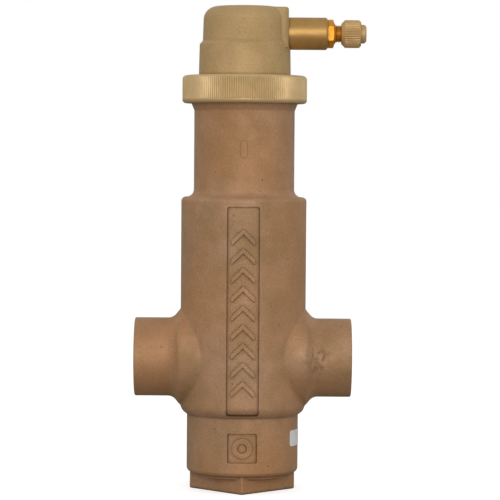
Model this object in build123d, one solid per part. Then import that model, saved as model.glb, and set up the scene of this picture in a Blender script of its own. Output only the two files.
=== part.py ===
"""Automatic air vent with its separator body, taken apart into its real pieces.

Frame: +Z up, origin on the upright axis in the bottom face of the wrench square.
The pipe sockets lie along X, the vent outlet points to +X, the cast panel faces -Y.
All sizes are in millimetres.
"""
from build123d import *
import math
import os

# Body casting, outside
square_diagonal = 47.6       # wrench square, corner to corner, one corner to the front
square_height = 7.8
square_corner = 0.6
square_edge_round = 0.7
lower_boss_radius = 25.05
lower_boss_height = 26.1
lower_boss_inset = 3.0       # round neck under the boss, hidden on the square
barrel_radius = 28.15
barrel_height = 97.7
neck_radius = 22.55
neck_length = 48.2
lower_boss_round = 2.2
barrel_foot_rise = 1.5       # slope under the rounded foot of the barrel
barrel_foot_round = 5.2
shoulder_round = 2.0
neck_root_fillet = 3.4
flare_length = 3.2           # flare of the neck into the union thread
flare_round = 1.5

# Body casting, inside
barrel_wall = 3.7
lower_wall = 4.3
neck_wall = 3.35
tapping_radius = 9.3         # minor radius of the 1/2 in pipe tapping
tapping_length = 14.5
mouth_chamfer = 0.8
sump_round = 2.5
chamber_round = 2.0
chamber_start = 1.5          # where the barrel's bore widens, above the foot of the barrel
ledge_drop = 3.9             # shelf that carries the basket, below the foot of the barrel
ledge_thickness = 3.0
ledge_reach = 1.6            # shelf inside the basket's edge
rim_chamfer = 0.6

# Pipe sockets
socket_rise = 25.5           # socket axis above the foot of the barrel
socket_reach = 20.5          # socket mouth beyond the barrel
socket_bore = 14.35          # for 28.6 mm tube
socket_wall = 3.3
socket_depth = 23.1
socket_stop = 1.65           # step that the tube end meets
socket_lip_round = 0.7
socket_mouth_chamfer = 0.5
root_step = 3.95             # heavy cast root outside the socket
root_reach = 0.2             # straight part of the root beyond the barrel
root_cone_length = 3.2
root_round = 2.0
root_fillet = 4.5
root_seam_fillet = 1.6

# Cast panel, tablet and pip
panel_width = 14.5
panel_depth = 0.7
panel_corner = 1.2
panel_end_gap = 3.9          # from the panel's top to the shoulder
panel_foot_gap = 1.3         # from the foot of the barrel to the panel
mark_width = 10.4
mark_stroke = 2.2
mark_count = 9
mark_fill = 0.86             # height of a mark in its share of the panel
mark_margin = 9.2            # panel ends kept clear of marks
mark_sink = 0.2              # root of a mark below the field
mark_shy = 0.05              # face of a mark below the barrel's own face
tablet_size = 13.2
tablet_corner = 0.8
tablet_rise = 13.0           # middle of the tablet above the wrench square
tablet_ring_radius = 4.4
tablet_ring_hole = 2.2
pip_rise = 21.4              # middle of the pip above the shoulder
pip_height = 7.4
pip_width = 2.6
pip_raise = 0.35

# Union between head and body
union_pitch = 2.0
union_thread_depth = 1.1
union_step = 2.45            # thread crest outside the neck
flange_thickness = 3.0
flange_step = 0.8            # flange edge inside the thread crest
ring_height = 12.5
ring_lip = 3.2
ring_wall = 2.75
ring_catch = 3.5             # how far the ring lip reaches over the flange
ring_top_round = 1.9
ring_bottom_round = 1.6
ring_ridges = 168
ridge_depth = 0.42
ring_plain_band = 1.7
ring_slack = 0.3             # ring lip round the skirt
ring_mouth_chamfer = 0.5
union_clearance = 0.2
ring_groove_depth = 0.9
seal_height = 1.3
seal_width = 1.6
seal_offset = 1.2            # seal outside the neck bore
seal_gap = 0.15
seal_round = 0.4

# Head casting
skirt_height = 17.2          # ring seat to the shoulder of the head
crown_height = 37.75         # sealing face to the top of the dome
crown_inset = 1.75           # upper cylinder inside the skirt
skirt_draft = 0.35
crown_draft = 0.45
step_rise = 1.5              # slope between skirt and upper cylinder
skirt_edge_round = 0.6
step_round = 0.5
crown_round = 6.0
crown_rise = 0.9             # dome of the top face
skirt_wall = 3.55
crown_wall = 3.3
roof_thickness = 5.4
core_round = 1.0
core_slope = 1.6             # height of the cone between the two bores of the head
core_drop = 2.0              # that cone starts this far below the head's shoulder
outlet_rise = 25.2           # outlet axis above the sealing face
pad_reach = 0.55             # flat pad outside the upper cylinder
pad_margin = 2.45            # pad edge outside the outlet tube
pad_drop = 1.0               # pad top below the dome top
pad_foot = 1.5               # pad foot below the head's shoulder
pad_edge_round = 2.6
pad_rim_round = 1.2

# Outlet tube, seat and stem
spigot_radius = 5.0
spigot_gap = 0.12
spigot_wall = 0.8
spigot_round = 0.4
tube_shoulder = 2.25         # tube outside its spigot
tube_length = 17.5
tube_chamfer = 0.7
spot_face_gap = 0.3
lip_length = 1.0
tube_seal_offset = 0.4       # small seal outside the spigot
tube_seal_width = 1.0
tube_seal_height = 0.8
tube_seal_round = 0.25
seat_from_face = 7.2         # seat flange from the tube's shoulder
seat_length = 3.0
nozzle_length = 1.35
nozzle_radius = 1.9
nozzle_bore = 0.9
nozzle_taper = 0.5
stem_socket_step = 0.7       # stem socket outside the plunger guide
stem_fit = 0.1
shank_length = 7.0
hex_across_flats = 11.1
hex_length = 2.8
hex_chamfer = 0.4
stem_cone_length = 0.85
stem_thread_radius = 3.875
stem_thread_length = 9.05
stem_pitch = 0.79375
stem_thread_depth = 0.45
stem_bore = 1.2

# Vent cap
cap_wall = 2.375             # cap outside the stem thread
cap_length = 8.85
cap_gap = 2.5                # bare thread between stem cone and cap
cap_ridges = 36
cap_ridge_depth = 0.32
cap_bevel = 1.7              # wide bevel at the open end
cap_chamfer = 0.9
cap_edge_round = 0.3
cap_mouth_gap = 0.2
cap_tip_radius = 4.2
cap_tip_length = 2.35
cap_tip_chamfer = 0.8
cap_tip_root = 0.5           # tip sunk into the cap
cap_well = 1.6
cap_well_depth = 2.15
cap_slot = 1.3
cap_slot_depth = 1.3
cap_clearance = 0.15
gasket_thickness = 1.0
gasket_hole = 0.8

# Lever and its bracket
lever_half_swing = 14.4775   # degrees each side of level
short_arm = 4.0
pivot_inset = 3.6            # pivot inside the crown bore
pivot_radius = 1.0
running_gap = 0.05
slot_gap = 0.15
cheek_thickness = 0.8
cheek_gap = 2.0              # inner face of each lever cheek from the middle
cheek_height = 3.4
crank_width = 3.3
hub_radius = 2.4
lever_end = 2.0              # metal beyond the pin at each arm's end
crank_clearance = 0.35       # crank to the outlet tube with the float up
web_thickness = 0.8
web_short = 6.0              # web shorter than the long arm
web_lap = 0.2                # web into each cheek
ear_gap = 3.4                # inner face of each bracket ear from the middle
ear_thickness = 1.0
ear_radius = 2.6
ear_width = 4.0
ear_offset = 0.6
bracket_thickness = 1.0
bracket_end = 1.4            # plate beyond the pivot
bracket_tail = 0.45          # plate behind the axis, as a share of the long arm
rear_screw_share = -0.17     # places of the two screws as shares of the long arm
front_screw_share = 0.46
screw_radius = 1.25
screw_head_radius = 2.3
screw_head_height = 1.5
screw_head_round = 0.6
screw_grip = 3.2             # screw into the roof
screw_hole_spare = 0.4
screw_slot_width = 0.7
screw_slot_depth = 0.7
screw_gap = 0.15
pin_head_radius = 1.8
pin_head_height = 0.9
pin_head_round = 0.3
pin_tail = 1.2
clip_radius = 2.2
clip_thickness = 0.5
clip_sink = 0.3              # groove depth of the hinge pin
clip_start = 0.1
clip_opening = 1.2

# Float
float_gap = 3.7              # float to the neck bore
float_wall = 1.2
float_top = 1.6
float_round = 3.0
float_inside_round = 2.0
float_headroom = 3.4
float_footroom = 4.0
float_boss_radius = 3.2
float_boss_length = 6.0
float_rod_radius = 1.2
float_rod_grip = 5.0
float_rod_spare = 2.0        # wire above its cross pin
float_pin_radius = 0.75
float_pin_spare = 0.4
base_thickness = 1.8
base_rim = 1.5
base_lip = 2.0
base_fit = 0.05
base_round = 0.8

# Plunger and its spring
plunger_pin_radius = 0.6
plunger_pin_spare = 0.2
plunger_rod_radius = 1.4
plunger_rod_play = 0.8       # lip of the tube round the plunger rod
plunger_rod_spare = 2.0      # rod beyond its cross pin
plunger_play = 0.1
plunger_disc = 2.0
plunger_flat = 3.0           # flats on the disc, from its middle
plunger_seal_lap = 0.7       # rubber face outside the nozzle
plunger_seal_depth = 2.0
plunger_seal_step = 3.2      # from the disc's back to the rubber face
closed_gap = 0.05            # rubber face to nozzle when shut
spring_wire = 0.5
spring_coils = 4
spring_inset = 1.1           # coil centre inside the plunger guide
spring_gap = 0.05

# Packing
sheet_thickness = 0.6
screen_plate = 0.8
basket_gap = 0.4
basket_columns = 12
basket_window_width = 5.0
basket_window_frame = 5.0    # sheet left between rows of windows
basket_drop = 3.3            # basket below the shoulder, its lid in the neck
screen_rings = 3
screen_hole_radius = 1.5
screen_margin = 2.0
pall_height = 16.0
pall_wall = 0.5
pall_gap = 0.2
pall_windows = 5
pall_window_width = 5.0
pall_window_height = 4.8
pall_tongue_thickness = 0.4
pall_tongue_offset = 2.75
pall_tongue_inset = 2.4      # tongue tips from the ring's own axis
snap_section = 1.2
snap_grip = 0.75             # snap ring into its groove
snap_reach = 1.3             # snap ring over the lid
snap_groove_depth = 0.9
snap_groove_play = 0.1
snap_opening = 7.0

# Label on the lower boss
label_thickness = 0.12
label_height = 7.2
label_rise = 16.3            # middle of the label above the wrench square
label_start = 58.0           # degrees from the front towards the outlet side
label_sweep = 96.0
label_corner = 1.2

# Modelling allowances
overcut = 1.0                # cutters run this far past a face
facet_cover = 0.03           # smooth band outside the crests of the ridges

# Levels up the axis
boss_level = square_height
barrel_level = boss_level + lower_boss_height
shoulder_level = barrel_level + barrel_height
seat_level = shoulder_level + neck_length
ring_top = seat_level + flange_thickness + ring_lip
ring_bottom = ring_top - ring_height
flange_top = seat_level + flange_thickness
skirt_top = flange_top + skirt_height
dome_top = seat_level + crown_height
outlet_level = seat_level + outlet_rise
socket_level = barrel_level + socket_rise
roof_level = dome_top - roof_thickness
ledge_top = barrel_level - ledge_drop
tablet_level = boss_level + tablet_rise

# Radii that follow
chamber_radius = barrel_radius - barrel_wall
sump_radius = lower_boss_radius - lower_wall
neck_bore = neck_radius - neck_wall
union_thread_radius = neck_radius + union_step
flange_radius = union_thread_radius - flange_step
skirt_radius = flange_radius - ring_catch
crown_radius = skirt_radius - crown_inset
skirt_bore = skirt_radius - skirt_wall
crown_bore = crown_radius - crown_wall
ring_bore = union_thread_radius + union_clearance
ring_radius = ring_bore + ring_wall
pad_face = crown_radius + pad_reach
socket_mouth = barrel_radius + socket_reach
socket_radius = socket_bore + socket_wall
socket_root_radius = socket_radius + root_step
long_arm = crown_bore - pivot_inset
float_radius = neck_bore - float_gap
basket_radius = neck_bore - basket_gap
seal_inner = neck_bore + seal_offset
tube_radius = spigot_radius + tube_shoulder
guide_radius = spigot_radius - spigot_wall
stem_socket_radius = guide_radius + stem_socket_step
lip_bore = plunger_rod_radius + plunger_rod_play
plunger_seal_radius = nozzle_radius + plunger_seal_lap
cap_radius = stem_thread_radius + cap_wall

# Places along the outlet
swing_sine = math.sin(math.radians(lever_half_swing))
swing_cosine = math.cos(math.radians(lever_half_swing))
crank_reach = long_arm + (short_arm + lever_end) * swing_sine + crank_width / 2 * swing_cosine
spigot_start = crank_reach + crank_clearance
seat_start = pad_face + seat_from_face
hex_start = pad_face + tube_length
cone_start = hex_start + hex_length
stem_thread_start = cone_start + stem_cone_length
stem_end = stem_thread_start + stem_thread_length
cap_start = stem_thread_start + cap_gap
cap_end = cap_start + cap_length

# Travel of the mechanism
float_travel = 2 * long_arm * swing_sine
plunger_travel = 2 * short_arm * swing_sine
pivot_level = outlet_level - short_arm
float_pin_level = pivot_level - float_travel / 2
plunger_pin_place = long_arm - plunger_travel / 2
plunger_seal_face = seat_start - nozzle_length - closed_gap - plunger_travel
plunger_disc_back = plunger_seal_face - plunger_seal_step

# Packing: three rings side by side fill the basket
basket_inner = basket_radius - sheet_thickness
ring_spread_factor = 1 / math.sin(math.radians(60))
pall_radius = (basket_inner - pall_gap - pall_gap / 2 * ring_spread_factor) / (1 + ring_spread_factor)
basket_top = shoulder_level - basket_drop
packing_room = basket_top - pall_gap - ledge_top - screen_plate
pall_layers = int(packing_room / (pall_height + pall_gap))
pall_pitch = packing_room / pall_layers
snap_level = basket_top + screen_plate
float_bottom = snap_level + snap_section + float_footroom
float_crown = seat_level - float_headroom


def outline(corners):
    """Closed face through the corners; a third value rounds that corner."""
    face = make_face(Polyline([(c[0], c[1]) for c in corners], close=True))
    for corner in corners:
        if len(corner) > 2:
            vertex = face.vertices().sort_by_distance((corner[0], corner[1], 0))[0]
            face = fillet(vertex, corner[2])
    return face


def turned(*corners):
    """Solid of revolution about Z from (radius, height, rounding) corners."""
    return revolve(Plane.XZ * outline(corners), Axis.Z)


def tube(outer, inner, bottom, top):
    """Plain ring about Z."""
    return turned((inner, bottom), (outer, bottom), (outer, top), (inner, top))


def rod(radius, bottom, top):
    """Plain round bar about Z."""
    return Pos(0, 0, bottom) * Cylinder(radius, top - bottom, align=(Align.CENTER, Align.CENTER, Align.MIN))


def along_x(solid, place=0.0, level=outlet_level):
    """Lay a piece made about Z along +X at a height."""
    return Pos(place, 0, level) * Rot(0, 90, 0) * solid


def along_y(solid, x, z):
    """Lay a piece made about Z along Y, centred where it was centred."""
    return Pos(x, 0, z) * Rot(90, 0, 0) * solid


def thread_corners(root, crest, start, turns, pitch):
    """Corners of a row of thread ridges from the start upwards."""
    corners = []
    for turn in range(turns):
        base = start + turn * pitch
        corners.append((root, base + 0.1 * pitch))
        corners.append((crest, base + 0.4 * pitch))
        corners.append((crest, base + 0.6 * pitch))
        corners.append((root, base + 0.9 * pitch))
    return corners


def toothed_bar(radius, depth, ridges, bottom, top):
    """Bar about Z with straight pointed ridges round it."""
    points = []
    for ridge in range(ridges):
        crest_angle = 2 * math.pi * ridge / ridges
        root_angle = 2 * math.pi * (ridge + 0.5) / ridges
        points.append((radius * math.cos(crest_angle), radius * math.sin(crest_angle)))
        points.append(((radius - depth) * math.cos(root_angle), (radius - depth) * math.sin(root_angle)))
    face = make_face(Polyline(points, close=True))
    return Pos(0, 0, bottom) * extrude(face, top - bottom)


def front_shape(sketch, middle_level, near, far):
    """Sketch seen from the front, cut to the shell between two radii."""
    bar = extrude(Plane.XZ * sketch, far + overcut)
    height = sketch.bounding_box().size.Y
    shell = tube(far, near, middle_level - height, middle_level + height)
    return shell & Pos(0, 0, middle_level) * bar


# ------------------------------------------------------------ body casting
def sockets():
    """Both cast pipe sockets, solid, from the axis to their mouths."""
    cone_foot = barrel_radius + root_reach
    half = turned(
        (0, 0),
        (socket_root_radius, 0),
        (socket_root_radius, cone_foot, root_round),
        (socket_radius, cone_foot + root_cone_length, root_fillet),
        (socket_radius, socket_mouth, socket_lip_round),
        (0, socket_mouth),
    )
    right = along_x(half, 0, socket_level)
    return right + Rot(0, 0, 180) * right


def socket_seam(edge):
    """True for the edges where a socket root runs into the barrel."""
    middle = edge @ 0.5
    on_barrel = abs(math.hypot(middle.X, middle.Y) - barrel_radius) < 0.02
    near_socket = math.hypot(middle.Y, middle.Z - socket_level) < socket_root_radius + 1
    return on_barrel and near_socket and abs(middle.X) > 1


def wrench_square():
    """Square foot with one corner to the front."""
    side = square_diagonal / math.sqrt(2)
    square = extrude(RectangleRounded(side, side, square_corner), boss_level)
    underside = square.faces().sort_by(Axis.Z)[0]
    square = fillet(underside.outer_wire().edges(), square_edge_round)
    return Rot(0, 0, 45) * square


def body_shell():
    """Outside of the body casting, still solid."""
    thread_root = union_thread_radius - union_thread_depth
    turns = int((seat_level - ring_bottom) / union_pitch)
    thread = thread_corners(
        thread_root, union_thread_radius, seat_level - turns * union_pitch, turns, union_pitch)
    boss_inside = lower_boss_radius - lower_boss_inset
    stack = turned(
        (0, boss_level - overcut),
        (boss_inside, boss_level - overcut),
        (boss_inside, boss_level),
        (lower_boss_radius, boss_level, lower_boss_round),
        (lower_boss_radius, barrel_level),
        (barrel_radius, barrel_level + barrel_foot_rise, barrel_foot_round),
        (barrel_radius, shoulder_level, shoulder_round),
        (neck_radius, shoulder_level, neck_root_fillet),
        (neck_radius, ring_bottom - flare_length, flare_round),
        (thread_root, ring_bottom),
        *thread,
        (thread_root, seat_level),
        (0, seat_level),
    )
    shell = stack + sockets()
    shell = fillet(shell.edges().filter_by(socket_seam), root_seam_fillet)
    return shell + wrench_square()


def body_hollow():
    """Everything bored and cored out of the body casting."""
    widening = chamber_radius - sump_radius
    widening_foot = barrel_level + chamber_start
    ledge_bore = basket_radius - ledge_reach
    groove_radius = neck_bore + snap_groove_depth
    groove_top = snap_level + snap_section + snap_groove_play
    core = turned(
        (0, -overcut),
        (tapping_radius + mouth_chamfer, -overcut),
        (tapping_radius + mouth_chamfer, 0),
        (tapping_radius, mouth_chamfer),
        (tapping_radius, tapping_length),
        (sump_radius, tapping_length, sump_round),
        (sump_radius, ledge_top - ledge_thickness),
        (ledge_bore, ledge_top - ledge_thickness),
        (ledge_bore, ledge_top),
        (sump_radius, ledge_top),
        (sump_radius, widening_foot),
        (chamber_radius, widening_foot + widening, chamber_round),
        (chamber_radius, shoulder_level - barrel_wall, chamber_round),
        (neck_bore, shoulder_level - barrel_wall),
        (neck_bore, snap_level),
        (groove_radius, snap_level),
        (groove_radius, groove_top),
        (neck_bore, groove_top),
        (neck_bore, seat_level - rim_chamfer),
        (neck_bore + rim_chamfer, seat_level),
        (neck_bore + rim_chamfer, seat_level + overcut),
        (0, seat_level + overcut),
    )
    stop_bore = socket_bore - socket_stop
    stop_place = socket_mouth - socket_depth
    mouth_radius = socket_bore + socket_mouth_chamfer
    socket = turned(
        (0, 0),
        (stop_bore, 0),
        (stop_bore, stop_place),
        (socket_bore, stop_place),
        (socket_bore, socket_mouth - socket_mouth_chamfer),
        (mouth_radius, socket_mouth),
        (mouth_radius, socket_mouth + overcut),
        (0, socket_mouth + overcut),
    )
    right = along_x(socket, 0, socket_level)
    return core + right + Rot(0, 0, 180) * right


def chevron(width, height, stroke):
    """Open arrow head that points up, about its own middle."""
    half = width / 2
    points = [
        (-half, -height / 2),
        (0, height / 2 - stroke),
        (half, -height / 2),
        (half, -height / 2 + stroke),
        (0, height / 2),
        (-half, -height / 2 + stroke),
    ]
    return make_face(Polyline(points, close=True))


def panel_cuts():
    """Sunk fields of the tall panel and the square tablet; the panel follows the barrel's rounded foot."""
    bottom = barrel_level + panel_foot_gap
    top = shoulder_level - panel_end_gap
    foot_level = barrel_level + barrel_foot_rise + panel_depth
    bed = turned(
        (0, barrel_level),
        (lower_boss_radius - panel_depth, barrel_level),
        (lower_boss_radius - panel_depth, barrel_level + panel_depth),
        (barrel_radius - panel_depth, foot_level, barrel_foot_round - panel_depth),
        (barrel_radius - panel_depth, shoulder_level),
        (0, shoulder_level),
    )
    field = RectangleRounded(panel_width, top - bottom, panel_corner)
    panel = Pos(0, 0, (top + bottom) / 2) * extrude(Plane.XZ * field, barrel_radius + overcut) - bed
    square = RectangleRounded(tablet_size, tablet_size, tablet_corner)
    tablet = front_shape(square, tablet_level, lower_boss_radius - panel_depth, lower_boss_radius + overcut)
    return panel + tablet


def panel_mark(sketch, level, radius):
    """Raised mark that stands in a sunk field of a round wall."""
    return front_shape(sketch, level, radius - panel_depth - mark_sink, radius - mark_shy)


def panel_marks():
    """Raised chevrons in the panel, a ring in the tablet and the pip on the neck."""
    bottom = barrel_level + mark_margin
    top = shoulder_level - panel_end_gap - mark_margin
    pitch = (top - bottom) / mark_count
    arrow = chevron(mark_width, mark_fill * pitch, mark_stroke)
    marks = [panel_mark(arrow, bottom + (index + 0.5) * pitch, barrel_radius) for index in range(mark_count)]
    marks.append(panel_mark(Circle(tablet_ring_radius) - Circle(tablet_ring_hole), tablet_level, lower_boss_radius))
    pip = SlotOverall(pip_height, pip_width, rotation=90)
    marks.append(front_shape(pip, shoulder_level + pip_rise, neck_radius - pip_raise, neck_radius + pip_raise))
    return marks


def body_casting():
    """One-piece bronze body."""
    casting = body_shell() - panel_cuts()
    for mark in panel_marks():
        casting = casting + mark
    return casting - body_hollow()


# ------------------------------------------------------------ packing
def screen_holes(level):
    """Rings of round holes through a screen plate."""
    step = (basket_radius - screen_margin) / (screen_rings + 0.4)
    hole = Pos(0, 0, level) * Cylinder(screen_hole_radius, 3 * screen_plate)
    holes = []
    for ring in range(1, screen_rings + 1):
        for index in range(6 * ring):
            holes.append(Rot(0, 0, 60 / ring * index) * Pos(ring * step, 0, 0) * hole)
    return holes


def screen_basket():
    """Punched stainless basket that holds the packing."""
    wall = tube(basket_radius, basket_inner, ledge_top, basket_top)
    floor = rod(basket_radius, ledge_top, ledge_top + screen_plate)
    pitch = (basket_top - ledge_top) / pall_layers
    blank = Box(4 * sheet_thickness, basket_window_width, pitch - basket_window_frame)
    windows = []
    for row in range(pall_layers):
        window = Pos(basket_radius, 0, ledge_top + (row + 0.5) * pitch) * blank
        for column in range(basket_columns):
            windows.append(Rot(0, 0, 360 / basket_columns * (column + 0.5 * (row % 2))) * window)
    return wall + floor - windows - screen_holes(ledge_top)


def basket_lid():
    """Punched lid that keeps the rings out of the float chamber."""
    return rod(basket_radius, basket_top, basket_top + screen_plate) - screen_holes(basket_top)


def basket_clip():
    """Open snap ring in the groove above the lid."""
    ring = tube(neck_bore + snap_grip, neck_bore - snap_reach, snap_level, snap_level + snap_section)
    return ring - Pos(0, -neck_bore, snap_level) * Box(snap_opening, 6, 4 * snap_section)


def pall_ring():
    """One packing ring with two rows of windows and bent-in tongues."""
    ring = tube(pall_radius, pall_radius - pall_wall, 0, pall_height)
    tongue_length = pall_radius - pall_tongue_inset
    window = Pos(pall_radius, 0, 0) * Box(6 * pall_wall, pall_window_width, pall_window_height)
    strip = Box(tongue_length, pall_tongue_thickness, pall_window_height)
    tongue = Pos(pall_radius - tongue_length / 2, pall_tongue_offset, 0) * strip
    windows = []
    tongues = []
    for row in range(2):
        level = pall_height * (0.29 + 0.42 * row)
        for index in range(pall_windows):
            turn = Pos(0, 0, level) * Rot(0, 0, 360 / pall_windows * (index + 0.5 * row))
            windows.append(turn * window)
            tongues.append(turn * tongue)
    return (ring - windows + tongues) & rod(pall_radius, 0, pall_height)


def pall_rings():
    """All packing rings, three to a layer, each layer turned on the last."""
    template = pall_ring()
    spread = (pall_radius + pall_gap / 2) * ring_spread_factor
    rings = []
    for layer in range(pall_layers):
        level = ledge_top + screen_plate + pall_gap + layer * pall_pitch
        for index in range(3):
            place = Rot(0, 0, 120 * index + 60 * layer) * Pos(spread, 0, level)
            rings.append(place * Rot(0, 0, 17 * layer + 31 * index) * template)
    return rings


# ------------------------------------------------------------ union and head
def head_seal():
    """Ring seal in the groove under the head flange."""
    outer = seal_inner + seal_width
    return turned(
        (seal_inner, seat_level, seal_round),
        (outer, seat_level, seal_round),
        (outer, seat_level + seal_height, seal_round),
        (seal_inner, seat_level + seal_height, seal_round),
    )


def head_shell():
    """Outside of the head casting, still solid."""
    dome = turned(
        (0, seat_level),
        (flange_radius, seat_level),
        (flange_radius, flange_top),
        (skirt_radius, flange_top),
        (skirt_radius - skirt_draft, skirt_top, skirt_edge_round),
        (crown_radius, skirt_top + step_rise, step_round),
        (crown_radius - crown_draft, dome_top - crown_rise, crown_round),
        (0, dome_top),
    )
    pad_half = tube_radius + pad_margin
    pad_bottom = skirt_top - pad_foot
    pad_height = dome_top - pad_drop - pad_bottom
    pad = Pos(pad_face / 2, 0, pad_bottom + pad_height / 2) * Box(pad_face, 2 * pad_half, pad_height)
    pad = fillet(pad.edges().filter_by(Axis.Z).group_by(Axis.X)[-1], pad_edge_round)
    rim = pad.faces().sort_by(Axis.Z)[-1].edges().filter_by(lambda edge: (edge @ 0.5).X > 1)
    return dome + fillet(rim, pad_rim_round)


def screw_places():
    """Places of the bracket screws along X."""
    return (rear_screw_share * long_arm, front_screw_share * long_arm)


def head_casting():
    """Brass head that holds the vent mechanism."""
    core_foot = skirt_top - core_drop
    hollow = turned(
        (0, seat_level - overcut),
        (skirt_bore, seat_level - overcut),
        (skirt_bore, core_foot, core_round),
        (crown_bore, core_foot + core_slope, core_round),
        (crown_bore, roof_level, core_round),
        (0, roof_level),
    )
    groove = tube(
        seal_inner + seal_width + seal_gap,
        seal_inner - seal_gap,
        seat_level - overcut,
        seat_level + seal_height,
    )
    outlet = along_x(rod(spigot_radius + spigot_gap, 0, pad_face + overcut))
    spot_face = along_x(rod(tube_radius + spot_face_gap, pad_face, pad_face + tube_radius))
    casting = head_shell() - hollow - groove - outlet - spot_face
    for place in screw_places():
        hole = rod(screw_radius, roof_level - overcut, roof_level + screw_grip + screw_hole_spare)
        casting = casting - Pos(place, 0, 0) * hole
    return casting


def ring_nut():
    """Knurled union ring; its lip holds the head flange down."""
    band_top = ring_bottom + ring_plain_band
    band_radius = ring_radius + facet_cover
    envelope = turned(
        (skirt_radius, band_top),
        (band_radius, band_top),
        (band_radius, ring_top, ring_top_round),
        (skirt_radius, ring_top),
    )
    ridged = toothed_bar(ring_radius, ridge_depth, ring_ridges, band_top, ring_top) & envelope
    band = turned(
        (skirt_radius, ring_bottom),
        (band_radius, ring_bottom, ring_bottom_round),
        (band_radius, band_top),
        (skirt_radius, band_top),
    )
    thread_foot = ring_bottom + ring_mouth_chamfer
    turns = int((flange_top - thread_foot) / union_pitch)
    bore = turned(
        (0, ring_bottom - overcut),
        (ring_bore + ring_mouth_chamfer, ring_bottom - overcut),
        (ring_bore + ring_mouth_chamfer, ring_bottom),
        (ring_bore, thread_foot),
        *thread_corners(ring_bore, ring_bore + ring_groove_depth, thread_foot, turns, union_pitch),
        (ring_bore, flange_top),
        (skirt_radius + ring_slack, flange_top),
        (skirt_radius + ring_slack, ring_top + overcut),
        (0, ring_top + overcut),
    )
    return ridged + band - bore


# ------------------------------------------------------------ outlet
def outlet_tube():
    """Turned tube screwed into the head; the seat and the stem sit in it."""
    stem_socket_start = seat_start + seat_length
    lip_end = spigot_start + lip_length
    solid = turned(
        (lip_bore, spigot_start),
        (spigot_radius, spigot_start, spigot_round),
        (spigot_radius, pad_face),
        (tube_radius, pad_face),
        (tube_radius, hex_start - tube_chamfer),
        (tube_radius - tube_chamfer, hex_start),
        (stem_socket_radius, hex_start),
        (stem_socket_radius, stem_socket_start),
        (guide_radius, stem_socket_start),
        (guide_radius, lip_end),
        (lip_bore, lip_end),
    )
    seal_bottom = spigot_radius + tube_seal_offset
    groove = tube(seal_bottom + tube_seal_width, seal_bottom, pad_face - overcut, pad_face + tube_seal_height)
    return along_x(solid - groove)


def tube_seal():
    """Small ring seal under the shoulder of the outlet tube."""
    inner = spigot_radius + tube_seal_offset
    outer = inner + tube_seal_width
    return along_x(turned(
        (inner, pad_face, tube_seal_round),
        (outer, pad_face, tube_seal_round),
        (outer, pad_face + tube_seal_height, tube_seal_round),
        (inner, pad_face + tube_seal_height, tube_seal_round),
    ))


def valve_seat():
    """Pressed-in seat with its nozzle towards the plunger."""
    return along_x(turned(
        (nozzle_bore, seat_start - nozzle_length),
        (nozzle_radius - nozzle_taper, seat_start - nozzle_length),
        (nozzle_radius, seat_start),
        (guide_radius, seat_start),
        (guide_radius, seat_start + seat_length),
        (nozzle_bore, seat_start + seat_length),
    ))


def vent_stem():
    """Hexagon stem with the fine outlet thread."""
    thread_root = stem_thread_radius - stem_thread_depth
    turns = int(stem_thread_length / stem_pitch)
    hexagon = extrude(RegularPolygon(hex_across_flats / 2, 6, major_radius=False), hex_length)
    corner_radius = hex_across_flats / math.sqrt(3)
    ends = turned(
        (0, hex_start),
        (corner_radius - hex_chamfer, hex_start),
        (corner_radius, hex_start + hex_chamfer),
        (corner_radius, cone_start - hex_chamfer),
        (corner_radius - 2 * hex_chamfer, cone_start),
        (0, cone_start),
    )
    shank_start = hex_start - shank_length
    shank_radius = stem_socket_radius - stem_fit
    cone_radius = hex_across_flats / 2 - hex_chamfer
    shank = turned(
        (0, shank_start),
        (shank_radius, shank_start),
        (shank_radius, hex_start),
        (cone_radius, hex_start),
        (cone_radius, cone_start),
        (stem_thread_radius, stem_thread_start),
        (thread_root, stem_thread_start),
        *thread_corners(thread_root, stem_thread_radius, stem_thread_start, turns, stem_pitch),
        (thread_root, stem_end),
        (0, stem_end),
    )
    bore = rod(stem_bore, shank_start - overcut, stem_end + overcut)
    return along_x((Pos(0, 0, hex_start) * hexagon & ends) + shank - bore)


def vent_cap():
    """Knurled cap with a slotted tip."""
    blank = turned(
        (0, cap_start),
        (cap_radius - cap_bevel, cap_start),
        (cap_radius, cap_start + cap_bevel, cap_edge_round),
        (cap_radius, cap_end - cap_chamfer, cap_edge_round),
        (cap_radius - cap_chamfer, cap_end),
        (0, cap_end),
    )
    ridged = toothed_bar(cap_radius, cap_ridge_depth, cap_ridges, cap_start, cap_end) & blank
    tip_end = cap_end + cap_tip_length
    tip = turned(
        (0, cap_end - cap_tip_root),
        (cap_tip_radius, cap_end - cap_tip_root),
        (cap_tip_radius, tip_end - cap_tip_chamfer),
        (cap_tip_radius - cap_tip_chamfer, tip_end),
        (0, tip_end),
    )
    bore_radius = stem_thread_radius + cap_clearance
    mouth_radius = bore_radius + cap_mouth_gap
    gasket_back = stem_end + gasket_thickness
    bore = turned(
        (0, cap_start - overcut),
        (mouth_radius, cap_start - overcut),
        (mouth_radius, cap_start),
        (bore_radius, cap_start + 2 * cap_mouth_gap),
        (bore_radius, gasket_back),
        (0, gasket_back),
    )
    well = rod(cap_well, tip_end - cap_well_depth, tip_end + overcut)
    slot = Pos(0, 0, tip_end) * Box(4 * cap_tip_radius, cap_slot, 2 * cap_slot_depth)
    return along_x(ridged + tip - bore - well - slot)


def cap_gasket():
    """Rubber disc held in the cap, with a hole on the stem bore."""
    return along_x(tube(stem_thread_radius, gasket_hole, stem_end, stem_end + gasket_thickness))


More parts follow.
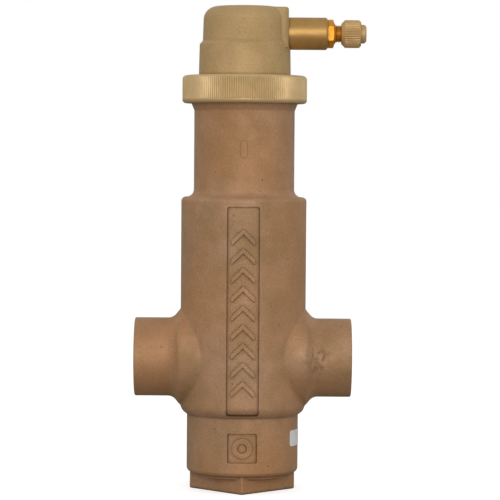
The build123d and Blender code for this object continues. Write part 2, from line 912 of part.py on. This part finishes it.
# ------------------------------------------------------------ lever
def lever():
    """Folded bell crank at rest, float end low."""
    arm_length = long_arm + lever_end
    crank_length = short_arm + lever_end
    arm = Pos(-arm_length / 2, 0) * Rectangle(arm_length, cheek_height)
    crank = Pos(0, crank_length / 2) * Rectangle(crank_width, crank_length)
    float_slot = Pos(-arm_length, 0) * Rectangle(3 * lever_end, 2 * (float_pin_radius + slot_gap))
    plunger_slot = Pos(0, crank_length) * Rectangle(2 * (plunger_pin_radius + slot_gap), 3 * lever_end)
    shape = Circle(hub_radius) + arm + crank - float_slot - plunger_slot - Circle(pivot_radius + running_gap)
    plate = extrude(Plane.XZ * shape, cheek_thickness / 2, both=True)
    web = Box(long_arm - web_short, 2 * (cheek_gap + web_lap), web_thickness)
    web = Pos(-long_arm / 2, 0, (web_thickness - cheek_height) / 2) * web
    middle = cheek_gap + cheek_thickness / 2
    folded = Pos(0, middle, 0) * plate + Pos(0, -middle, 0) * plate + web
    return Pos(long_arm, 0, pivot_level) * Rot(0, -lever_half_swing, 0) * folded


def lever_bracket():
    """Folded bracket screwed up against the roof of the head."""
    plate_end = long_arm + bracket_end
    plate_start = -bracket_tail * long_arm
    width = 2 * (ear_gap + ear_thickness)
    plate = Box(plate_end - plate_start, width, bracket_thickness)
    bracket = Pos((plate_end + plate_start) / 2, 0, roof_level - bracket_thickness / 2) * plate
    drop = roof_level - pivot_level
    strip = Pos(-ear_offset, drop / 2) * Rectangle(ear_width, drop)
    shape = strip + Circle(ear_radius) - Circle(pivot_radius)
    ear = extrude(Plane.XZ * shape, ear_thickness / 2, both=True)
    for side in (-1, 1):
        bracket = bracket + Pos(long_arm, side * (ear_gap + ear_thickness / 2), pivot_level) * ear
    for place in screw_places():
        bracket = bracket - Pos(place, 0, roof_level) * Cylinder(screw_radius + screw_gap, 4 * bracket_thickness)
    return bracket


def bracket_screws():
    """Two slotted screws into the roof."""
    seat = roof_level - bracket_thickness
    head_level = seat - screw_head_height
    head = turned(
        (0, head_level),
        (screw_head_radius, head_level, screw_head_round),
        (screw_head_radius, seat),
        (0, seat),
    )
    slot = Pos(0, 0, head_level) * Box(screw_slot_width, 3 * screw_head_radius, 2 * screw_slot_depth)
    screw = head + rod(screw_radius, seat, roof_level + screw_grip) - slot
    return [Pos(place, 0, 0) * screw for place in screw_places()]


def pivot_pin():
    """Headed hinge pin through the bracket ears."""
    outside = ear_gap + ear_thickness
    groove_start = outside + clip_start
    groove_end = groove_start + clip_thickness
    groove_radius = pivot_radius - clip_sink
    pin = turned(
        (0, -outside - pin_head_height),
        (pin_head_radius, -outside - pin_head_height, pin_head_round),
        (pin_head_radius, -outside),
        (pivot_radius, -outside),
        (pivot_radius, groove_start),
        (groove_radius, groove_start),
        (groove_radius, groove_end),
        (pivot_radius, groove_end),
        (pivot_radius, outside + pin_tail),
        (0, outside + pin_tail),
    )
    return along_y(pin, long_arm, pivot_level)


def pin_clip():
    """Spring clip in the groove of the hinge pin."""
    start = ear_gap + ear_thickness + clip_start
    clip = tube(clip_radius, pivot_radius - clip_sink, start, start + clip_thickness)
    opening = Pos(-clip_radius, 0, start) * Box(2 * clip_radius, clip_opening, 4 * clip_thickness)
    return along_y(clip - opening, long_arm, pivot_level)


# ------------------------------------------------------------ float
def float_shell():
    """Thin plastic float, open below until its base is welded in."""
    shell_foot = float_bottom + base_rim
    roof = float_crown - float_top
    inner = float_radius - float_wall
    outside = turned(
        (0, shell_foot),
        (float_radius, shell_foot),
        (float_radius, float_crown, float_round),
        (0, float_crown),
    )
    inside = turned(
        (0, shell_foot - overcut),
        (inner, shell_foot - overcut),
        (inner, roof, float_inside_round),
        (0, roof),
    )
    boss = rod(float_boss_radius, float_crown - float_boss_length, roof + float_top / 2)
    bore = rod(float_rod_radius, float_crown - float_rod_grip, float_crown + overcut)
    return outside - inside + boss - bore


def float_base():
    """Disc welded into the open end of the float."""
    shell_foot = float_bottom + base_rim
    lip_outside = float_radius - float_wall - base_fit
    lip_inside = lip_outside - float_wall
    return turned(
        (0, float_bottom),
        (float_radius, float_bottom, base_round),
        (float_radius, shell_foot),
        (lip_outside, shell_foot),
        (lip_outside, shell_foot + base_lip),
        (lip_inside, shell_foot + base_lip),
        (lip_inside, float_bottom + base_thickness),
        (0, float_bottom + base_thickness),
    )


def float_rod():
    """Wire that hangs the float from the lever."""
    bar = rod(float_rod_radius, float_crown - float_rod_grip, float_pin_level + float_rod_spare)
    return bar - along_y(Cylinder(float_pin_radius, 4 * float_rod_radius), 0, float_pin_level)


def float_pin():
    """Cross pin of the float wire, in the long lever slots."""
    length = 2 * (cheek_gap + cheek_thickness + float_pin_spare)
    return along_y(Cylinder(float_pin_radius, length), 0, float_pin_level)


# ------------------------------------------------------------ plunger
def plunger():
    """Plunger with three flats on its disc so that air can pass."""
    disc_radius = guide_radius - plunger_play
    disc = rod(disc_radius, plunger_disc_back, plunger_disc_back + plunger_disc)
    cutter = Pos(plunger_flat + disc_radius / 2, 0, plunger_disc_back)
    cutter = cutter * Box(disc_radius, 3 * disc_radius, 4 * plunger_disc)
    disc = disc - [Rot(0, 0, 120 * side + 60) * cutter for side in range(3)]
    bar = rod(plunger_rod_radius, plunger_pin_place - plunger_rod_spare, plunger_disc_back + plunger_disc / 2)
    face = rod(plunger_seal_radius, plunger_seal_face - plunger_seal_depth, plunger_seal_face)
    shape = along_x(disc + bar - face)
    return shape - along_y(Cylinder(plunger_pin_radius, 4 * plunger_rod_radius), plunger_pin_place, outlet_level)


def plunger_pin():
    """Cross pin of the plunger, in the short lever slots."""
    length = 2 * (cheek_gap + cheek_thickness + plunger_pin_spare)
    return along_y(Cylinder(plunger_pin_radius, length), plunger_pin_place, outlet_level)


def plunger_seal():
    """Rubber face that closes on the nozzle."""
    return along_x(rod(plunger_seal_radius, plunger_seal_face - plunger_seal_depth, plunger_seal_face))


def plunger_spring():
    """Spring between the lip of the tube and the plunger disc, pressed short."""
    start = spigot_start + lip_length + spring_wire / 2 + spring_gap
    end = plunger_disc_back - spring_wire / 2 - spring_gap
    path = Helix((end - start) / spring_coils, end - start, guide_radius - spring_inset, center=(0, 0, start))
    section = Plane(origin=path @ 0, z_dir=path % 0) * Circle(spring_wire / 2)
    return along_x(sweep(section, path=path))


# ------------------------------------------------------------ label
def label():
    """Blank paper label round part of the lower boss."""
    band = tube(lower_boss_radius + label_thickness, lower_boss_radius, -label_height / 2, label_height / 2)
    reach = 2 * lower_boss_radius
    rays = [math.radians(label_sweep * share) for share in (0, 0.5, 1)]
    rim = [(reach * math.cos(ray), reach * math.sin(ray)) for ray in rays]
    wedge_face = make_face(Polyline((0, 0), *rim, close=True))
    wedge = Pos(0, 0, -label_height) * extrude(wedge_face, 2 * label_height)
    strip = Rot(0, 0, label_start - 90) * (band & wedge)
    corners = strip.edges().filter_by(lambda edge: edge.length < 3 * label_thickness)
    return Pos(0, 0, boss_level + label_rise) * fillet(corners, label_corner)


NODES = {
    "body_casting": body_casting,
    "screen_basket": screen_basket,
    "basket_lid": basket_lid,
    "basket_clip": basket_clip,
    "pall_rings": pall_rings,
    "head_seal": head_seal,
    "head_casting": head_casting,
    "ring_nut": ring_nut,
    "outlet_tube": outlet_tube,
    "tube_seal": tube_seal,
    "valve_seat": valve_seat,
    "vent_stem": vent_stem,
    "vent_cap": vent_cap,
    "cap_gasket": cap_gasket,
    "lever": lever,
    "lever_bracket": lever_bracket,
    "bracket_screws": bracket_screws,
    "pivot_pin": pivot_pin,
    "pin_clip": pin_clip,
    "float_shell": float_shell,
    "float_base": float_base,
    "float_rod": float_rod,
    "float_pin": float_pin,
    "plunger": plunger,
    "plunger_pin": plunger_pin,
    "plunger_seal": plunger_seal,
    "plunger_spring": plunger_spring,
    "label": label,
}

os.makedirs("parts", exist_ok=True)
for name, make in NODES.items():
    piece = make()
    if isinstance(piece, list):
        piece = Compound(children=piece)
    export_step(piece, f"parts/{name}.step")
    print(name, round(piece.volume, 1))
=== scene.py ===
"""Automatic air vent: materials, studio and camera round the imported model."""
import math

import bpy
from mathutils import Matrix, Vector


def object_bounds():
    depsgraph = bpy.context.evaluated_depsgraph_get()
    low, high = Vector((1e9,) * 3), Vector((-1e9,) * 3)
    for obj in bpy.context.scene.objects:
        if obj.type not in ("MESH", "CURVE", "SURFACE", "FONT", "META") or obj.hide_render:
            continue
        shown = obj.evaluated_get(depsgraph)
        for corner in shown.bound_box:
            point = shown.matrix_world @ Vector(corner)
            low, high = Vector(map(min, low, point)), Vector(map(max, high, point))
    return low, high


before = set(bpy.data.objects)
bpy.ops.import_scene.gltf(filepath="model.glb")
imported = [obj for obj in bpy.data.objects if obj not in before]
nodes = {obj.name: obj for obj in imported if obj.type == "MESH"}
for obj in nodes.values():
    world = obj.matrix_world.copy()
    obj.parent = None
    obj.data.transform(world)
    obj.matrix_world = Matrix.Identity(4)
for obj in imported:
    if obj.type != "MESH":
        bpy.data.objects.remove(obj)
cad_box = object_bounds()

# Grain and pattern sizes, in metres
cast_grain = 0.0005
cast_wave = 0.003
cast_patch = 0.016
cloud_ratio = 2.7            # clouds to patches
cast_pit = 0.004             # spacing of the pits
pitted_share = 0.80          # cells above this value have a pit
cast_corner = 0.0016         # reach of the painted shade in a casting's corners
turned_corner = 0.0012
drawn_corner = 0.001
tool_pitch = 0.00018
streaks_per_metre = 2600.0
fine_per_metre = 2400.0
smudge_size = 0.006
soft_smudge_size = 0.004

# Spot beside the right socket where the casting was dressed by hand
dressed_spot = (0.0326, -0.0180, 0.0600)
dressed_reach = 0.0085
scar_scale = (620.0, 620.0, 230.0)

# Studio, in metres and watts
floor_half = 6.0
floor_glow = 0.62            # glow of the floor, to the camera only
box_seen = 1.0               # brightness of the surround to the camera
box_felt = 0.49              # and as light on the vent
softboxes = [                # name, place, width, height, power
    ("front_box", (0.08, -1.5, 0.34), 0.9, 1.1, 8.0),
    ("left_box", (-1.4, -0.75, 0.30), 0.8, 1.0, 1.95),
    ("right_box", (1.4, -0.75, 0.30), 0.8, 1.0, 2.25),
]

# Camera, in metres and degrees
camera_distance = 1.10
camera_height = 0.1506
view_width = 0.225
camera_aim = (0.0029, 0, 0.1077)
camera_roll = 0.42
sensor_width = 36.0
far_clip = 50.0


# ---------------------------------------------------------------- node helpers
def put(tree, kind, inputs=None, **settings):
    """Add a shader node; inputs are constants, or output sockets to link."""
    made = tree.nodes.new(kind)
    for name, value in settings.items():
        setattr(made, name, value)
    for name, value in (inputs or {}).items():
        socket = made.inputs[name]
        if isinstance(value, bpy.types.NodeSocket):
            tree.links.new(value, socket)
        else:
            socket.default_value = value
    return made


def maths(tree, operation, first, second=0.0):
    """One sum of two values."""
    return put(tree, "ShaderNodeMath", {0: first, 1: second}, operation=operation).outputs[0]


def rescale(tree, value, low, high, to_low=0.0, to_high=1.0):
    """Bring a value from one span to another, held inside it."""
    node = put(tree, "ShaderNodeMapRange",
               {"Value": value, "From Min": low, "From Max": high, "To Min": to_low, "To Max": to_high})
    return node.outputs["Result"]


def blend_colour(tree, share, first, second, mode="MIX"):
    """Mix two colours by a share from 0 to 1."""
    node = put(tree, "ShaderNodeMix", {0: share}, data_type="RGBA", blend_type=mode)
    for index, value in ((6, first), (7, second)):
        if isinstance(value, bpy.types.NodeSocket):
            tree.links.new(value, node.inputs[index])
        else:
            node.inputs[index].default_value = value
    return node.outputs[2]


def tone(red, green, blue):
    """Colour given as screen values from 0 to 255, as a linear colour."""
    def linear(value):
        value = value / 255
        return value / 12.92 if value <= 0.04045 else ((value + 0.055) / 1.055) ** 2.4
    return (linear(red), linear(green), linear(blue), 1.0)


def new_group(name, inputs, outputs):
    """Shader node group with named sockets; each input is (name, default)."""
    group = bpy.data.node_groups.new(name, "ShaderNodeTree")
    for label, default in inputs:
        kind = "NodeSocketColor" if isinstance(default, tuple) else "NodeSocketFloat"
        socket = group.interface.new_socket(label, in_out="INPUT", socket_type=kind)
        socket.default_value = default
    for label, kind in outputs:
        group.interface.new_socket(label, in_out="OUTPUT", socket_type=kind)
    start = group.nodes.new("NodeGroupInput")
    end = group.nodes.new("NodeGroupOutput")
    return group, start.outputs, end.inputs


def use_group(tree, group, **inputs):
    """Place a group in a tree; underscores in the names stand for spaces."""
    node = put(tree, "ShaderNodeGroup", node_tree=group)
    for name, value in inputs.items():
        socket = node.inputs[name.replace("_", " ")]
        if isinstance(value, bpy.types.NodeSocket):
            tree.links.new(value, socket)
        else:
            socket.default_value = value
    return node.outputs


# ---------------------------------------------------------------- shared effects
def make_cast_skin():
    """Blasted sand-cast skin: grain, shallow waves, pits and cloudy patches."""
    group, given, out = new_group(
        "cast_skin",
        [("Grain Size", cast_grain), ("Wave Size", cast_wave),
         ("Patch Size", cast_patch), ("Pit Size", cast_pit)],
        [("Height", "NodeSocketFloat"), ("Grain", "NodeSocketFloat"),
         ("Patches", "NodeSocketFloat"), ("Clouds", "NodeSocketFloat"), ("Pits", "NodeSocketFloat")],
    )
    place = put(group, "ShaderNodeTexCoord").outputs["Object"]

    def noise(size, detail, roughness):
        scale = maths(group, "DIVIDE", 1.0, size)
        made = put(group, "ShaderNodeTexNoise",
                   {"Vector": place, "Scale": scale, "Detail": detail, "Roughness": roughness})
        return made.outputs["Fac"]

    grain = noise(given["Grain Size"], 2.0, 0.6)
    waves = noise(given["Wave Size"], 2.0, 0.5)
    patches = noise(given["Patch Size"], 4.0, 0.62)
    clouds = noise(maths(group, "MULTIPLY", given["Patch Size"], cloud_ratio), 2.0, 0.5)
    cells = put(group, "ShaderNodeTexVoronoi",
                {"Vector": place, "Scale": maths(group, "DIVIDE", 1.0, given["Pit Size"]), "Randomness": 1.0})
    spots = rescale(group, cells.outputs["Distance"], 0.05, 0.14, 1.0, 0.0)
    draw = put(group, "ShaderNodeSeparateColor", {"Color": cells.outputs["Color"]}).outputs["Red"]
    chosen = rescale(group, draw, pitted_share, pitted_share + 0.04)
    pits = maths(group, "MULTIPLY", spots, chosen)
    height = maths(group, "ADD", maths(group, "MULTIPLY", grain, 0.45), maths(group, "MULTIPLY", waves, 0.55))
    height = maths(group, "SUBTRACT", height, maths(group, "MULTIPLY", pits, 0.5))
    group.links.new(height, out["Height"])
    group.links.new(grain, out["Grain"])
    group.links.new(rescale(group, patches, 0.36, 0.64), out["Patches"])
    group.links.new(rescale(group, clouds, 0.35, 0.65), out["Clouds"])
    group.links.new(pits, out["Pits"])
    return group


def make_corners():
    """Masks of concave corners, darkened as painted shade, and of open ones that rub bright."""
    group, given, out = new_group(
        "corners", [("Reach", 0.002)], [("Painted Shade", "NodeSocketFloat"), ("Rim", "NodeSocketFloat")])
    outside = put(group, "ShaderNodeAmbientOcclusion", {"Distance": given["Reach"]}, samples=6)
    inside = put(group, "ShaderNodeAmbientOcclusion", {"Distance": given["Reach"]}, samples=6, inside=True)
    # The first mask is painted shade: ambient occlusion darkens the colour in concave corners.
    group.links.new(rescale(group, outside.outputs["AO"], 0.95, 0.45), out["Painted Shade"])
    group.links.new(rescale(group, inside.outputs["AO"], 0.90, 0.45), out["Rim"])
    return group


def make_tool_lines():
    """Fine rings left by a lathe tool round the X axis, with slow changes of depth."""
    group, given, out = new_group(
        "tool_lines", [("Pitch", tool_pitch), ("Wander", 0.35)],
        [("Height", "NodeSocketFloat"), ("Streaks", "NodeSocketFloat")])
    place = put(group, "ShaderNodeTexCoord").outputs["Object"]
    along = put(group, "ShaderNodeSeparateXYZ", {"Vector": place}).outputs["X"]
    turns = maths(group, "DIVIDE", along, given["Pitch"])
    drift = put(group, "ShaderNodeTexNoise", {"Vector": place, "Scale": 600.0, "Detail": 2.0}).outputs["Fac"]
    turns = maths(group, "ADD", turns, maths(group, "MULTIPLY", drift, given["Wander"]))
    wave = maths(group, "SINE", maths(group, "MULTIPLY", turns, 2 * math.pi))
    spread = maths(group, "MULTIPLY", along, streaks_per_metre)
    flat = put(group, "ShaderNodeCombineXYZ", {"X": spread}).outputs["Vector"]
    streaks = put(group, "ShaderNodeTexNoise", {"Vector": flat, "Scale": 1.0, "Detail": 3.0}).outputs["Fac"]
    group.links.new(rescale(group, wave, -1.0, 1.0), out["Height"])
    group.links.new(rescale(group, streaks, 0.35, 0.65), out["Streaks"])
    return group


def make_smudges():
    """Finger smudges and thin tarnish on machined metal."""
    group, given, out = new_group(
        "smudges", [("Size", smudge_size)], [("Smudge", "NodeSocketFloat"), ("Fine", "NodeSocketFloat")])
    place = put(group, "ShaderNodeTexCoord").outputs["Object"]
    scale = maths(group, "DIVIDE", 1.0, given["Size"])
    broad = put(group, "ShaderNodeTexNoise",
                {"Vector": place, "Scale": scale, "Detail": 3.0, "Distortion": 0.6}).outputs["Fac"]
    fine = put(group, "ShaderNodeTexNoise",
               {"Vector": place, "Scale": fine_per_metre, "Detail": 2.0}).outputs["Fac"]
    group.links.new(rescale(group, broad, 0.4, 0.68), out["Smudge"])
    group.links.new(fine, out["Fine"])
    return group


cast_skin = make_cast_skin()
corners = make_corners()
tool_lines = make_tool_lines()
smudges = make_smudges()


# ---------------------------------------------------------------- materials
def new_material(name):
    """Empty node material with its surface shader."""
    material = bpy.data.materials.new(name)
    material.use_nodes = True
    tree = material.node_tree
    tree.nodes.clear()
    shader = put(tree, "ShaderNodeBsdfPrincipled")
    end = put(tree, "ShaderNodeOutputMaterial")
    tree.links.new(shader.outputs["BSDF"], end.inputs["Surface"])
    return material, tree, shader


def bump(tree, shader, height, depth):
    """Raise the surface by a height from 0 to 1, as deep as depth in metres."""
    made = put(tree, "ShaderNodeBump", {"Height": height, "Distance": depth, "Strength": 1.0})
    tree.links.new(made.outputs["Normal"], shader.inputs["Normal"])


def grind_marks(tree, centre, reach):
    """Mask of short upright scars within reach of a spot where the casting was dressed."""
    place = put(tree, "ShaderNodeTexCoord").outputs["Object"]
    away = put(tree, "ShaderNodeVectorMath", {"Vector": place}, operation="DISTANCE")
    away.inputs[1].default_value = centre
    near = rescale(tree, away.outputs["Value"], reach, 0.35 * reach)
    drawn_out = put(tree, "ShaderNodeMapping", {"Vector": place})
    drawn_out.inputs["Scale"].default_value = scar_scale
    streaks = put(tree, "ShaderNodeTexNoise",
                  {"Vector": drawn_out.outputs["Vector"], "Scale": 1.0, "Detail": 3.0, "Distortion": 0.8})
    scars = rescale(tree, streaks.outputs["Fac"], 0.47, 0.64)
    return maths(tree, "MULTIPLY", near, scars)


def cast_metal(name, plain, dark, warm, shade_and_mark_colour, grain_depth, rough, metal, dressed=None):
    """Cast and blasted copper alloy in cloudy tones, with painted shade in its corners; a dressed spot is
    ground by hand.
    """
    material, tree, shader = new_material(name)
    skin = use_group(tree, cast_skin)
    edge = use_group(tree, corners, Reach=cast_corner)
    colour = blend_colour(tree, maths(tree, "MULTIPLY", skin["Patches"], 0.75), plain, dark)
    colour = blend_colour(tree, maths(tree, "MULTIPLY", skin["Clouds"], 0.55), colour, warm)
    speckle = rescale(tree, skin["Grain"], 0.25, 0.75, 0.80, 1.16)
    speckle_colour = put(tree, "ShaderNodeCombineColor", {"Red": speckle, "Green": speckle, "Blue": speckle})
    colour = blend_colour(tree, 1.0, colour, speckle_colour.outputs["Color"], "MULTIPLY")
    # Painted shade: the colour darkens towards the shade colour in concave corners.
    colour = blend_colour(tree, maths(tree, "MULTIPLY", edge["Painted Shade"], 0.80), colour, shade_and_mark_colour)
    # Pits darken towards the same colour.
    colour = blend_colour(tree, maths(tree, "MULTIPLY", skin["Pits"], 0.6), colour, shade_and_mark_colour)
    height = skin["Height"]
    if dressed:
        scars = grind_marks(tree, dressed, dressed_reach)
        # Grind scars darken towards the same colour.
        colour = blend_colour(tree, maths(tree, "MULTIPLY", scars, 0.45), colour, shade_and_mark_colour)
        height = maths(tree, "SUBTRACT", height, maths(tree, "MULTIPLY", scars, 1.6))
    tree.links.new(colour, shader.inputs["Base Color"])
    roughness = rescale(tree, skin["Patches"], 0.0, 1.0, rough - 0.04, rough + 0.07)
    roughness = maths(tree, "SUBTRACT", roughness, maths(tree, "MULTIPLY", edge["Rim"], 0.10))
    tree.links.new(roughness, shader.inputs["Roughness"])
    shader.inputs["Metallic"].default_value = metal
    shader.inputs["Sheen Weight"].default_value = 0.14
    shader.inputs["Sheen Roughness"].default_value = 0.5
    shader.inputs["Sheen Tint"].default_value = (0.70, 0.86, 0.70, 1)
    bump(tree, shader, height, grain_depth)
    return material


def turned_metal(name, plain, tarnish, rough, metal, line_depth):
    """Bright turned brass with rings from the tool and painted shade in its corners."""
    material, tree, shader = new_material(name)
    lines = use_group(tree, tool_lines)
    marks = use_group(tree, smudges)
    edge = use_group(tree, corners, Reach=turned_corner)
    colour = blend_colour(tree, maths(tree, "MULTIPLY", marks["Smudge"], 0.45), plain, tarnish)
    colour = blend_colour(tree, maths(tree, "MULTIPLY", lines["Streaks"], 0.22), colour, tarnish)
    # Painted shade: the colour darkens towards dark brown in concave corners.
    colour = blend_colour(tree, maths(tree, "MULTIPLY", edge["Painted Shade"], 0.6), colour, tone(96, 58, 16))
    tree.links.new(colour, shader.inputs["Base Color"])
    roughness = rescale(tree, marks["Smudge"], 0.0, 1.0, rough, rough + 0.08)
    roughness = maths(tree, "ADD", roughness, maths(tree, "MULTIPLY", lines["Streaks"], 0.05))
    tree.links.new(roughness, shader.inputs["Roughness"])
    shader.inputs["Metallic"].default_value = metal
    bump(tree, shader, lines["Height"], line_depth)
    return material


def plain_metal(name, plain, dull, corner_shade_colour, rough, metal, grain):
    """Rolled or drawn metal with fine grain, thin smudges and painted shade in its corners."""
    material, tree, shader = new_material(name)
    marks = use_group(tree, smudges)
    edge = use_group(tree, corners, Reach=drawn_corner)
    colour = blend_colour(tree, maths(tree, "MULTIPLY", marks["Smudge"], 0.5), plain, dull)
    # Painted shade: the colour darkens towards the shade colour in concave corners.
    colour = blend_colour(tree, maths(tree, "MULTIPLY", edge["Painted Shade"], 0.6), colour, corner_shade_colour)
    tree.links.new(colour, shader.inputs["Base Color"])
    roughness = rescale(tree, marks["Smudge"], 0.0, 1.0, rough, rough + 0.12)
    tree.links.new(roughness, shader.inputs["Roughness"])
    shader.inputs["Metallic"].default_value = metal
    bump(tree, shader, marks["Fine"], grain)
    return material


def soft_material(name, plain, worn, rough, grain, sheen=0.0):
    """Rubber, plastic or paper."""
    material, tree, shader = new_material(name)
    marks = use_group(tree, smudges, Size=soft_smudge_size)
    colour = blend_colour(tree, maths(tree, "MULTIPLY", marks["Smudge"], 0.5), plain, worn)
    tree.links.new(colour, shader.inputs["Base Color"])
    roughness = rescale(tree, marks["Fine"], 0.2, 0.8, rough - 0.05, rough + 0.05)
    tree.links.new(roughness, shader.inputs["Roughness"])
    shader.inputs["Sheen Weight"].default_value = sheen
    bump(tree, shader, marks["Fine"], grain)
    return material


# Depths are in metres
# Painted shade colour for the concave corners of steel parts
steel_corner_shade = tone(84, 80, 72)

cast_bronze = cast_metal(
    "cast_bronze",
    plain=tone(200, 156, 120),
    dark=tone(166, 132, 88),
    warm=tone(206, 146, 94),
    # painted corner shade; pits and grind scars darken to it as well
    shade_and_mark_colour=tone(98, 64, 38),
    grain_depth=0.00018,
    rough=0.58,
    metal=0.32,
    dressed=dressed_spot,
)
cast_brass = cast_metal(
    "cast_brass",
    plain=tone(208, 176, 124),
    dark=tone(186, 160, 102),
    warm=tone(212, 170, 116),
    # painted corner shade; pits darken to it as well
    shade_and_mark_colour=tone(120, 92, 48),
    grain_depth=0.00009,
    rough=0.58,
    metal=0.28,
)
ring_brass = plain_metal(
    "ring_brass",
    plain=tone(232, 202, 150),
    dull=tone(214, 188, 138),
    # painted shade in the knurl grooves
    corner_shade_colour=tone(180, 138, 82),
    rough=0.42,
    metal=0.45,
    grain=0.00002,
)
turned_brass = turned_metal(
    "turned_brass",
    plain=tone(208, 166, 100),
    tarnish=tone(190, 140, 68),
    rough=0.38,
    metal=0.65,
    line_depth=0.000004,
)
stem_brass = turned_metal(
    "stem_brass",
    plain=tone(250, 174, 48),
    tarnish=tone(226, 138, 26),
    rough=0.34,
    metal=0.5,
    line_depth=0.000003,
)
cap_brass = plain_metal(
    "cap_brass",
    plain=tone(224, 186, 128),
    dull=tone(208, 168, 110),
    corner_shade_colour=tone(132, 96, 48),
    rough=0.52,
    metal=0.40,
    grain=0.00001,
)
stainless_sheet = plain_metal(
    "stainless_sheet",
    plain=tone(205, 203, 198),
    dull=tone(182, 180, 174),
    corner_shade_colour=steel_corner_shade,
    rough=0.32,
    metal=1.0,
    grain=0.000006,
)
stainless_wire = plain_metal(
    "stainless_wire",
    plain=tone(214, 213, 210),
    dull=tone(190, 188, 184),
    corner_shade_colour=steel_corner_shade,
    rough=0.22,
    metal=1.0,
    grain=0.000003,
)
steel_screws = plain_metal(
    "steel_screws",
    plain=tone(196, 194, 188),
    dull=tone(170, 166, 156),
    corner_shade_colour=tone(70, 62, 50),
    rough=0.30,
    metal=1.0,
    grain=0.000004,
)
seal_rubber = soft_material(
    "seal_rubber",
    plain=tone(34, 34, 34),
    worn=tone(48, 46, 44),
    rough=0.62,
    grain=0.00003,
    sheen=0.15,
)
float_plastic = soft_material(
    "float_plastic",
    plain=tone(236, 233, 220),
    worn=tone(224, 216, 192),
    rough=0.42,
    grain=0.00001,
)
label_paper = soft_material(
    "label_paper",
    plain=tone(250, 250, 247),
    worn=tone(238, 240, 234),
    rough=0.66,
    grain=0.00001,
)

finishes = {
    "body_casting": cast_bronze,
    "head_casting": cast_brass,
    "ring_nut": ring_brass,
    "outlet_tube": turned_brass,
    "vent_stem": stem_brass,
    "plunger": turned_brass,
    "vent_cap": cap_brass,
    "label": label_paper,
    "screen_basket": stainless_sheet,
    "basket_lid": stainless_sheet,
    "pall_rings": stainless_sheet,
    "lever": stainless_sheet,
    "lever_bracket": stainless_sheet,
    "basket_clip": stainless_wire,
    "valve_seat": stainless_wire,
    "pivot_pin": stainless_wire,
    "pin_clip": stainless_wire,
    "float_rod": stainless_wire,
    "float_pin": stainless_wire,
    "plunger_pin": stainless_wire,
    "plunger_spring": stainless_wire,
    "bracket_screws": steel_screws,
    "head_seal": seal_rubber,
    "tube_seal": seal_rubber,
    "cap_gasket": seal_rubber,
    "plunger_seal": seal_rubber,
    "float_shell": float_plastic,
    "float_base": float_plastic,
}

for name, material in finishes.items():
    piece = nodes[name]
    if not piece.data.materials:
        piece.data.materials.append(material)
    for holder in piece.material_slots:
        holder.material = material


# ---------------------------------------------------------------- studio
def add_floor():
    """Wide pale floor under the vent: near white to the camera, a softer grey to the vent."""
    corner_signs = ((-1, -1), (1, -1), (1, 1), (-1, 1))
    places = [(floor_half * across, floor_half * along, 0) for across, along in corner_signs]
    mesh = bpy.data.meshes.new("floor")
    mesh.from_pydata(places, [], [(0, 1, 2, 3)])
    floor = bpy.data.objects.new("floor", mesh)
    bpy.context.scene.collection.objects.link(floor)
    material, tree, shader = new_material("floor")
    seen = put(tree, "ShaderNodeLightPath").outputs["Is Camera Ray"]
    mottle = put(tree, "ShaderNodeTexNoise", {"Scale": 3.0, "Detail": 1.0}).outputs["Fac"]
    white = blend_colour(tree, mottle, tone(246, 246, 246), tone(250, 250, 250))
    colour = blend_colour(tree, seen, tone(148, 143, 138), white)
    tree.links.new(colour, shader.inputs["Base Color"])
    shader.inputs["Roughness"].default_value = 0.9
    shader.inputs["Specular IOR Level"].default_value = 0.1
    shader.inputs["Emission Color"].default_value = (1, 1, 1, 1)
    tree.links.new(maths(tree, "MULTIPLY", seen, floor_glow), shader.inputs["Emission Strength"])
    mesh.materials.append(material)


def add_softbox(name, place, aim, width, height, power):
    """Rectangular soft light that faces a point."""
    lamp = bpy.data.lights.new(name, "AREA")
    lamp.shape = "RECTANGLE"
    lamp.size = width
    lamp.size_y = height
    lamp.energy = power
    holder = bpy.data.objects.new(name, lamp)
    holder.location = place
    holder.rotation_euler = (Vector(aim) - Vector(place)).to_track_quat("-Z", "Y").to_euler()
    bpy.context.scene.collection.objects.link(holder)


def light_world(seen, felt):
    """White surround: its brightness to the camera, and as light on the vent."""
    world = bpy.data.worlds.new("studio")
    world.use_nodes = True
    tree = world.node_tree
    tree.nodes.clear()
    path = put(tree, "ShaderNodeLightPath")
    strength = rescale(tree, path.outputs["Is Camera Ray"], 0.0, 1.0, felt, seen)
    glow = put(tree, "ShaderNodeBackground", {"Color": (1, 1, 1, 1), "Strength": strength})
    end = put(tree, "ShaderNodeOutputWorld")
    tree.links.new(glow.outputs["Background"], end.inputs["Surface"])
    bpy.context.scene.world = world


def add_camera():
    """Camera in front of the panel, a little above the middle of the vent."""
    aim = Vector(camera_aim)
    camera = bpy.data.cameras.new("camera")
    camera.sensor_width = sensor_width
    camera.lens = sensor_width * camera_distance / view_width
    camera.clip_end = far_clip
    holder = bpy.data.objects.new("camera", camera)
    holder.location = (aim.x, -camera_distance, camera_height)
    holder.rotation_euler = (aim - holder.location).to_track_quat("-Z", "Y").to_euler()
    holder.rotation_euler.rotate_axis("Z", math.radians(camera_roll))
    bpy.context.scene.collection.objects.link(holder)
    bpy.context.scene.camera = holder


add_floor()
middle = (Vector(cad_box[0]) + Vector(cad_box[1])) / 2
for name, place, width, height, power in softboxes:
    add_softbox(name, place, middle, width, height, power)
light_world(box_seen, box_felt)
add_camera()
bpy.context.scene.view_settings.view_transform = "Standard"
